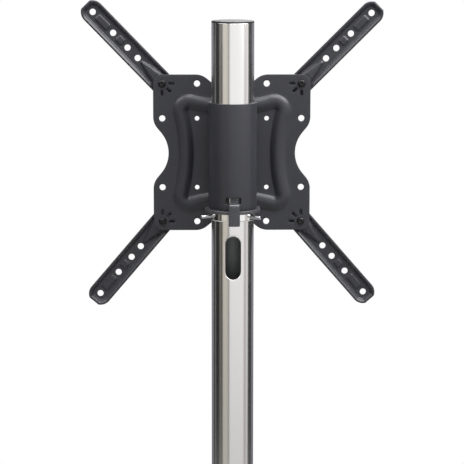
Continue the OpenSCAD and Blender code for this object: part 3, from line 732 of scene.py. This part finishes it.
# %% Plate rib
RIB_HALF, RIB_DOME, RIB_MID, RIB_CORNER, RIB_BEND = 11.8, 0.84, 66.0, 61.0, 13.0
rib_rise = RIB_MID - RIB_CORNER
side_r = (RIB_CORNER ** 2 + rib_rise ** 2 - RIB_BEND ** 2) / (2 * (RIB_BEND - rib_rise))
rib_turn = math.atan2(RIB_CORNER, side_r + rib_rise)


def arc_distance(u, v, centre, radius, heading, half_span):
    """Distance to an arc, for points whose direction from its centre falls within its span."""
    du, dv = u - centre[0], v - centre[1]
    off = (np.arctan2(dv, du) - heading + np.pi) % (2 * np.pi) - np.pi
    return np.where(np.abs(off) <= half_span + 1e-9, np.abs(np.hypot(du, dv) - radius), 1e3)


def rib_distance(u, v):
    """Distance to the rib's crest: the least of four corner arcs and four side arcs."""
    u, v = np.abs(u), np.abs(v)
    reach = RIB_MID + side_r
    return np.minimum.reduce([
        arc_distance(u, v, (RIB_CORNER, RIB_CORNER), RIB_BEND, np.pi / 4, np.pi / 4 + rib_turn),
        arc_distance(u, v, (0, reach), side_r, -np.pi / 2, rib_turn),
        arc_distance(u, v, (reach, 0), side_r, np.pi, rib_turn)])


def rib_height(u, v):
    """A dome over the inner share of the half width, then a hollow curve that meets the flat
    without a step."""
    s = np.clip(rib_distance(u, v) / RIB_HALF, 0, 1)
    return RIB_H * np.where(s < RIB_DOME, 1 - s ** 2 / RIB_DOME, (1 - s) ** 2 / (1 - RIB_DOME))


def on_plate(u, v, w):
    """Blank to space: u across, v up, w from the plate's back towards the viewer."""
    return np.stack([u, PLATE_BACK - w, PLATE_Z + v], -1)


half_turn = math.degrees(rib_turn)
crest = np.vstack([arc((RIB_CORNER, RIB_CORNER), RIB_BEND, -half_turn, 90 + half_turn),
                   arc((0, RIB_MID + side_r), side_r, -90 + half_turn, -90 - half_turn)])
CREST_STEP, RIB_ROWS, FLAT_STEP, PLATE_LIP = 1.6, 33, 4.0, 0.5
beside_crest = inset_rule(evenly(four_times(crest), CREST_STEP))
rib_rows = [beside_crest(d) for d in np.linspace(-RIB_HALF + 0.3, RIB_HALF, RIB_ROWS)]
flats = spread((-HALF_W, -HALF_W), (HALF_W, HALF_W), FLAT_STEP)
flats = flats[rib_distance(*flats.T) > RIB_HALF + FLAT_STEP / 2]
pressed = sheet(plate_loop, plate_holes, lambda u, v: PLATE_T + rib_height(u, v), rib_height,
                on_plate, PLATE_LIP, np.vstack([*rib_rows, flats]))
put_piece("plate", pressed, "head", "mount_plate", powder)

# %% [markdown]
# ## The arms
#
# Each arm is a pressed tray. Its edge rolls back a little from a rounded rim. From there the wall
# slopes down, steepens and flows into the floor, where the four screw holes and two raised panels
# are. Towards the pivot a fan rises and widens out of the floor to the level of the rim.

# %% Arm form
HOLE_STEP = PIVOT / 2
ARM_HOLES = [HOLE_STEP, HOLE_STEP * math.sqrt(2), 2 * HOLE_STEP, 2 * HOLE_STEP * math.sqrt(2)]
ARM_L = ARM_HOLES[3]
ARM_R, ARM_TAIL, ARM_TIP, ARM_HOLE_D = 16.75, 2.3, 14.6, 9.0
ARM_T, RIM_W, RIM_DROP, RIM_SOFT = 2.0, 1.8, 1.05, 0.25
# Across the wall from the rim inwards: where each stretch ends and how steeply it falls there
WALL_AT = np.array([0.0, 0.5, 3.0, 3.4, 4.1, 6.0])
WALL_SLOPE = np.tan(np.radians([0.0, 34.0, 40.0, 53.0, 53.0, 0.0]))
WALL_RUN = WALL_AT[-1]
PANEL_H, PANEL_W, PANEL_SPACE, PANEL_RUN = 1.6, 9.5, 9.3, 2.2
FAN_TIP, FAN_W0, FAN_W1, FAN_RUN0, FAN_RUN1 = 41.0, 0.5, 7.4, 2.6, 3.2
FAN_RISE, FAN_FULL = 0.45, 0.6
NUB_AT, NUB_R, NUB_H, NUB_RUN = -14.25, 1.5, 0.7, 0.6
TAIL_FROM, TAIL_DROP = 10.5, 1.2
ARM_LIP, PLATE_GAP = 0.4, 0.9


def ramp(x, soft):
    """A straight slope from 0 at x = 0 to 1 at x = 1 whose two bends are rounded over soft."""
    lift = np.logaddexp(0, x / soft) - np.logaddexp(0, (x - 1) / soft)
    return soft * lift


def box_distance(a, b):
    """Distance to a corner region where both a and b are at most zero, rounded outside it."""
    return np.hypot(np.maximum(a, 0), np.maximum(b, 0)) + np.minimum(np.maximum(a, b), 0)


def arm_inset(u, v):
    """How far a point lies inside the arm's outline: a long round-ended shape with a flat tip."""
    along = u - np.clip(u, -ARM_TAIL, ARM_L)
    return np.minimum(ARM_R - np.hypot(along, v), ARM_L + ARM_TIP - u)


def emboss(u, v):
    """Panels as shares of their height and the fan as a share of the tray's depth."""
    panels = np.zeros(np.shape(u))
    for a, b in ((1, 2), (2, 3)):
        middle = (ARM_HOLES[a] + ARM_HOLES[b]) / 2
        reach = (ARM_HOLES[b] - ARM_HOLES[a]) / 2 - PANEL_SPACE
        d = box_distance(np.abs(u - middle) - reach + 2, np.abs(v) - PANEL_W / 2 + 2) - 2
        panels = np.maximum(panels, 1 - ramp(d / PANEL_RUN + 0.5, 0.12))
    t = np.clip(1 - u / FAN_TIP, 0, 1.6)
    grown = np.clip(t / FAN_FULL, 0, 1)
    away = box_distance(np.abs(v) - FAN_W0 - FAN_W1 * t, u - FAN_TIP)
    fan = 1 - ramp(away / (FAN_RUN0 + FAN_RUN1 * grown), 0.1)
    return panels, fan * (FAN_RISE + (1 - FAN_RISE) * grown)


def wall_fall(x):
    """How far the wall has fallen at a distance x inside the rim. Its slope changes evenly along
    each stretch, so that the stretches meet without a kink."""
    x = np.clip(x, 0, WALL_RUN)
    i = np.clip(np.searchsorted(WALL_AT, x, side="right") - 1, 0, len(WALL_AT) - 2)
    step, rise = np.diff(WALL_AT), np.diff(WALL_SLOPE)
    before = np.concatenate([[0], np.cumsum(step * (WALL_SLOPE[:-1] + rise / 2))])
    t = (x - WALL_AT[i]) / step[i]
    return before[i] + step[i] * (WALL_SLOPE[i] * t + rise[i] * t * t / 2)


TRAY_DEPTH = wall_fall(WALL_RUN)


def arm_front(u, v):
    """Rolled edge, tray wall, floor, panels and fan as one height below the rim."""
    panels, fan = emboss(u, v)
    d = arm_inset(u, v)
    edge = -RIM_DROP * (1 - ramp(d / RIM_W, RIM_SOFT))
    tail = TAIL_DROP * ramp((np.hypot(u, v) - TAIL_FROM) / 3, 0.2) * ramp((-u - 2) / 4, 0.2)
    nub = NUB_H * (1 - ramp((np.hypot(u - NUB_AT, v) - NUB_R) / NUB_RUN + 1, 0.15))
    return edge - tail - wall_fall(d - RIM_W) * (1 - fan) + PANEL_H * panels + nub


def arm_back(u, v):
    """The same form one sheet further back, with its wall moved out by the bend's allowance."""
    panels, fan = emboss(u, v)
    shift = ARM_T * math.tan(math.atan2(TRAY_DEPTH, WALL_RUN) / 2)
    fall = wall_fall(arm_inset(u, v) + shift - RIM_W)
    return -fall * (1 - fan) + PANEL_H * panels - ARM_T


def arm_row(inset):
    """The arm's outline moved inwards, with the same count of points whatever the inset."""
    r, tip = ARM_R - inset, ARM_L + ARM_TIP - inset
    half_flat = math.degrees(math.acos((tip - ARM_L) / r))
    upper = arc((ARM_L, 0), r, half_flat, 90)
    sides = np.linspace(ARM_L, -ARM_TAIL, 150)[1:-1]
    upper = np.vstack([upper, np.stack([sides, np.full(len(sides), r)], 1)])
    flat = np.linspace(-1, 1, 16)[1:-1] * r * sine(half_flat)
    return np.vstack([upper, arc((-ARM_TAIL, 0), r, 90, 270, 48), upper[::-1] * [1, -1],
                      np.stack([np.full(len(flat), tip), flat], 1)])


ARM_BANDS = [*np.arange(0.7, 2.9, 0.25), *np.arange(3.0, 8.2, 0.35)]
arm_holes = [circle(u, 0, ARM_HOLE_D) for u in ARM_HOLES] + [circle(0, 0, PIVOT_D)]
floor_grid = spread((-ARM_R - ARM_TAIL, -ARM_R), (ARM_L + ARM_TIP, ARM_R), 0.8)
arm_points = floor_grid[arm_inset(*floor_grid.T) > ARM_BANDS[-1] + ARM_LIP]


def put_arm(name, x, y, angle):
    """One arm, with its blank's u axis turned to its angle about its pivot."""
    c, s = cosine(angle), sine(angle)

    def place(u, v, w):
        return np.stack([x * PIVOT + u * c - v * s, PLATE_BACK + PLATE_GAP - w,
                         PLATE_Z + y * PIVOT + u * s + v * c], -1)

    pressed = sheet(arm_row, arm_holes, arm_front, arm_back, place, ARM_LIP, arm_points,
                    bands=ARM_BANDS)
    put_piece(name + "_tray", pressed, name, name, powder)


put_arm("arm_upper_left", -1, 1, 180 - 46.0)
put_arm("arm_upper_right", 1, 1, 45.0)
put_arm("arm_lower_left", -1, -1, 180 + 49.5)
put_arm("arm_lower_right", 1, -1, -49.0)

# %% [markdown]
# ## Screws and nuts
#
# The heads are turned and their sockets broached. A head and a nut differ only in their rows of
# (radius, height, hexness).

# %% Fastener rows
HEAD_SIDES = 72


def dome(r, h, base, steps=8):
    """Rows of a button head: a quarter of an ellipse from its rim to its flat top."""
    a = np.linspace(0, np.pi / 2, steps + 1)
    top = r - h
    return [(top + (r - top) * math.cos(t), base + (h - base) * math.sin(t), 0) for t in a]


def button(d, head_d, head_h, key, length):
    """A button head screw along +Z from its shank's end at -length to its head's top."""
    rows = [(0, -length, 0), (d / 2 - 0.5, -length, 0), (d / 2, -length + 0.5, 0), (d / 2, 0, 0),
            (head_d / 2 - 0.2, 0, 0), (head_d / 2, 0.2, 0)]
    rows += dome(head_d / 2, head_h, head_h / 4)
    rows += [(key / 2 * 1.22, head_h, 0), (key / 2, head_h - 0.3, 1), (key / 2, head_h * 0.45, 1),
             (0, head_h * 0.35, 1)]
    return turned(rows, HEAD_SIDES)


def nut(across, bore, h):
    """A hexagon nut on +Z with both of its faces chamfered to a circle."""
    r = across / 2
    rows = [(bore / 2, 0.3, 0), (bore / 2 + 0.4, 0, 0), (r - 0.1, 0, 0), (r, 0.5, 1),
            (r, h - 0.5, 1), (r - 0.1, h, 0), (bore / 2 + 0.4, h, 0), (bore / 2, h - 0.3, 0)]
    return turned(rows, HEAD_SIDES)


def put_many(name, shape, seats, along, node, material):
    """The same shape at several seats, as one piece of the head."""
    put_piece(name, joined([(placed(shape[0], seat, along), shape[1]) for seat in seats]), "head",
              node, material)


NUT_ACROSS, NUT_BORE = 10.2, 6.1


def put_nuts(name, node, seats, facing):
    """The nuts of a node on screws at those seats, as deep as the node."""
    near, far = [corner[1] for corner in node_box(node)][::facing]
    put_many(name, nut(NUT_ACROSS, NUT_BORE, abs(far - near)),
             [(x, near, z) for x, _, z in seats], (0, facing, 0), node, zinc)


plate_front = PLATE_BACK - PLATE_T
screw_seats = [(x * PIVOT, plate_front, PLATE_Z + y * PIVOT) for x, y in corners]
screw_end = node_box("pivot_screws")[1][1] - plate_front
put_many("pivot_button_screws", button(6, 11, 3.3, 4, screw_end), screw_seats, (0, -1, 0),
         "pivot_screws", black_steel)
put_nuts("pivot_locknuts", "pivot_nuts", screw_seats, 1)
bolt_seats = [(x * BOLT_X, PLATE_BACK, PLATE_Z + y * BOLT_Y) for x, y in corners]
bolt_end = PLATE_BACK - node_box("bracket_bolts")[0][1]
put_many("bracket_button_bolts", button(6, 10.2, 3.0, 3.9, bolt_end), bolt_seats, (0, 1, 0),
         "bracket_bolts", black_steel)
put_nuts("bracket_hex_nuts", "bracket_nuts", bolt_seats, -1)

# %% [markdown]
# ## The foot
#
# A heavy round plate, coated like the mount, stands on six rubber pads. A rosette of the tube's
# own ground steel covers the flange and its bolts.

# %% Foot
base_low, base_high = node_box("base_plate")
BASE_R = min(np.abs(base_low[:2]).min(), base_high[:2].min())
base_profile = rounded([(0, base_low[2], 0), (BASE_R, base_low[2], 0.8),
                        (BASE_R, base_high[2], 2.5), (0, base_high[2], 0)], steps=8)
put_piece("base_disc", turned(base_profile, 240), "stand", "base_plate", powder)

cover_low, cover_high = node_box("foot_cover")
COVER_R, COVER_T, SHOULDER = cover_high[0], 1.2, 11.0
eye = TUBE_R + SEAT_FIT
cover_profile = rounded([
    (COVER_R, cover_low[2], 0.3), (COVER_R, cover_high[2], SHOULDER), (eye, cover_high[2], 0.4),
    (eye, cover_high[2] - COVER_T, 0.3), (COVER_R - COVER_T, cover_high[2] - COVER_T,
                                         SHOULDER - COVER_T),
    (COVER_R - COVER_T, cover_low[2], 0.3)], steps=12)
put_piece("rosette", turned(cover_profile, 192), "stand", "foot_cover",
          brushed)

# %% Nodes kept from the frame
kept = {"foot_pads": rubber, "pad_screws": zinc, "foot_flange": powder, "flange_bolts": zinc,
        "flange_washers": zinc, "upper_bush": cap_plastic, "plate_bracket": powder,
        "pivot_washers": white_plastic}
for node, material in kept.items():
    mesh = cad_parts[node].data
    mesh.materials.clear()
    mesh.materials.append(material)
print("kept nodes", len(kept))

# %% [markdown]
# ## Camera
#
# The camera looks slightly down from in front. It was fitted to the plate's screw holes, whose
# spacing is a standard one.

# %% Camera
FRAME_PX, FOCAL_PX = 464.0, 1814.6
CAMERA_X, CAMERA_Y, CAMERA_Z = -60.5, -2541.9, 1648.4
PITCH, YAW, ROLL = 9.989, -1.343, 0.048
camera_data = bpy.data.cameras.new("camera")
camera_data.sensor_width = 36.0
camera_data.lens = FOCAL_PX / FRAME_PX * camera_data.sensor_width
camera_data.clip_start, camera_data.clip_end = 0.05, 50.0
camera = new_object("camera", camera_data)
camera.matrix_world = (Matrix.Translation(np.array([CAMERA_X, CAMERA_Y, CAMERA_Z]) * MM)
                       @ Matrix.Rotation(math.radians(YAW), 4, "Z")
                       @ Matrix.Rotation(math.radians(90 - PITCH), 4, "X")
                       @ Matrix.Rotation(math.radians(ROLL), 4, "Z"))
bpy.context.scene.camera = camera

# %% [markdown]
# ## Floor
#
# A pale round floor keeps the stand's shadow and fades to the white backdrop at its rim. Polished
# metal sees it greyer than the camera does, so that the tube's lower end doesn't bleach.

# %% Floor
FLOOR_R, FLOOR_PAINT, FLOOR_ROUGH, MIRRORED_SHARE = 2.3, 0.82, 0.9, 0.52
FADE_FROM, FADE_FULL = 0.5, FLOOR_R * 0.95
a = even_angles(128)
floor_mesh = bpy.data.meshes.new("floor")
floor_mesh.from_pydata(np.stack([FLOOR_R * np.cos(a), FLOOR_R * np.sin(a), 0 * a], 1).tolist(), [],
                       [range(len(a))])
floor = new_object("floor", floor_mesh)
paint = bpy.data.materials.new("floor_paint")
paint.use_nodes = True
tree = paint.node_tree
rays = add_node(tree, "LightPath").outputs
place = add_node(tree, "TexCoord").outputs["Object"]
span = add_node(tree, "VectorMath", {0: place}, operation="LENGTH").outputs["Value"]
seen = maths(tree, "MAXIMUM", rays["Is Camera Ray"], rays["Is Glossy Ray"])
share = maths(tree, "MULTIPLY", seen, step_node(tree, span, FADE_FROM, FADE_FULL))
dimmed = maths(tree, "MULTIPLY_ADD", rays["Is Glossy Ray"], MIRRORED_SHARE - 1, 1.0)
white = add_node(tree, "Emission", {"Strength": dimmed}).outputs[0]
coat = tree.nodes["Principled BSDF"]
feed(tree, coat.inputs["Roughness"], FLOOR_ROUGH)
feed(tree, coat.inputs["Base Color"], maths(tree, "MULTIPLY", dimmed, FLOOR_PAINT))
feed(tree, tree.nodes["Material Output"].inputs["Surface"],
     mixed(tree, share, coat.outputs[0], white))
floor_mesh.materials.append(paint)

# %% [markdown]
# ## Light
#
# A studio for polished metal is mostly what the metal reflects. The world is white to the
# camera, a plain grey to matt surfaces, and to gloss a room of white panels with dark flags
# between them under a pale ceiling. Four soft lamps hang in that room, a box overhead in front, a
# disc high up at each side and one behind, so that slopes which face up shine.

# %% World
bpy.context.scene.view_settings.view_transform = "Standard"
WORLD_LEVEL = 0.26
# Each panel's start as a bearing in degrees from the viewer's side towards the right, its level
# and its tint
PLAIN, SAND, MAUVE, ROSE = (1, 1, 1), (1.06, 1, 0.88), (1.03, 1, 1.15), (1.07, 1, 0.98)
PANELS = [(-180, 0.28, MAUVE), (-128, 0.02, PLAIN), (-116, 0.2, PLAIN), (-105, 0.02, PLAIN),
          (-78, 0.2, SAND), (-68, 0.07, SAND), (-57, 0.66, SAND), (-28, 0.35, PLAIN),
          (-19, 1.05, PLAIN), (62, 0.6, ROSE), (79, 0.95, PLAIN), (91, 0.06, PLAIN),
          (125, 0.28, MAUVE)]
SOFT_EDGE = 1.5
CEILING, CEILING_FROM, CEILING_FULL = 0.75, 24, 40
LOW_SHARE, LOW_FROM, LOW_FULL = 0.4, -24, -8
world = bpy.data.worlds.new("studio")
bpy.context.scene.world = world
world.use_nodes = True
tree = world.node_tree
tree.nodes.clear()
ray = add_node(tree, "TexCoord").outputs["Generated"]
x_axis, y_axis, z_axis = add_node(tree, "SeparateXYZ", {0: ray}).outputs
bearing = maths(tree, "ARCTAN2", x_axis, maths(tree, "MULTIPLY", y_axis, -1.0))
turn = maths(tree, "MULTIPLY_ADD", bearing, 1 / (2 * math.pi), 0.5)
ring_of_panels = add_node(tree, "ValToRGB", {"Fac": turn})
ring_of_panels.color_ramp.interpolation = "LINEAR"
stops = ring_of_panels.color_ramp.elements
colours = [[level * share for share in tint] for _, level, tint in PANELS]
marks = [(PANELS[0][0], colours[0])]
for (start, _, _), before, after in zip(PANELS[1:], colours, colours[1:]):
    marks += [(start - SOFT_EDGE, before), (start + SOFT_EDGE, after)]
while len(stops) < len(marks):
    stops.new(0.5)
for stop, (at, colour) in zip(stops, marks):
    stop.position, stop.color = (at + 180) / 360, (*colour, 1)

raised = step_node(tree, z_axis, sine(CEILING_FROM), sine(CEILING_FULL))
above = maths(tree, "MULTIPLY", raised, CEILING)
near_floor = maths(tree, "MULTIPLY_ADD", step_node(tree, z_axis, sine(LOW_FROM), sine(LOW_FULL)),
                   1 - LOW_SHARE, LOW_SHARE)
panels_share = maths(tree, "MULTIPLY", maths(tree, "SUBTRACT", 1.0, raised), near_floor)
room = add_node(tree, "VectorMath", enumerate((ring_of_panels.outputs["Color"], panels_share,
                                               above)), operation="MULTIPLY_ADD")
rays = add_node(tree, "LightPath").outputs
panels, plain, white = [
    add_node(tree, "Background", {"Color": colour}).outputs[0]
    for colour in (room.outputs["Vector"], (WORLD_LEVEL, WORLD_LEVEL, WORLD_LEVEL, 1),
                   (1, 1, 1, 1))]
lit = mixed(tree, rays["Is Glossy Ray"], plain, panels)
add_node(tree, "OutputWorld", {"Surface": mixed(tree, rays["Is Camera Ray"], lit, white)})

# %% Lamps
AIM = np.array([0, 0.0, 1.3])
LAMP_AWAY = 2.4
# Bearing and height over the horizon in degrees, width and depth in metres, and level
LAMPS = {"softbox": ("RECTANGLE", 12, 62, 1.3, 0.9, 12.5),
         "right_lamp": ("DISK", 68, 45, 1.7, 1.7, 13.0),
         "left_lamp": ("DISK", -68, 45, 1.6, 1.6, 5.5),
         "back_lamp": ("DISK", 165, 40, 1.8, 1.8, 6.0)}


def put_lamp(name, shape, bearing, height, width, depth, level):
    """An area lamp that faces the mount. Its power is pi times its area times its level, so that
    a mirror would show it at that level."""
    data = bpy.data.lights.new(name, "AREA")
    data.shape = shape
    data.size, data.size_y = width, depth
    share = math.pi / 4 if shape == "DISK" else 1
    data.energy = math.pi * width * depth * share * level
    lamp = new_object(name, data)
    out = np.array([sine(bearing) * cosine(height), -cosine(bearing) * cosine(height),
                    sine(height)])
    across = np.array([cosine(bearing), sine(bearing), 0])
    turned_to = Matrix(np.array([across, np.cross(out, across), out]).T.tolist())
    lamp.matrix_world = Matrix.Translation(AIM + out * LAMP_AWAY) @ turned_to.to_4x4()
    lamp.visible_camera = False
    print(name, [round(c, 2) for c in lamp.matrix_world.translation])


for name, row in LAMPS.items():
    put_lamp(name, *row)
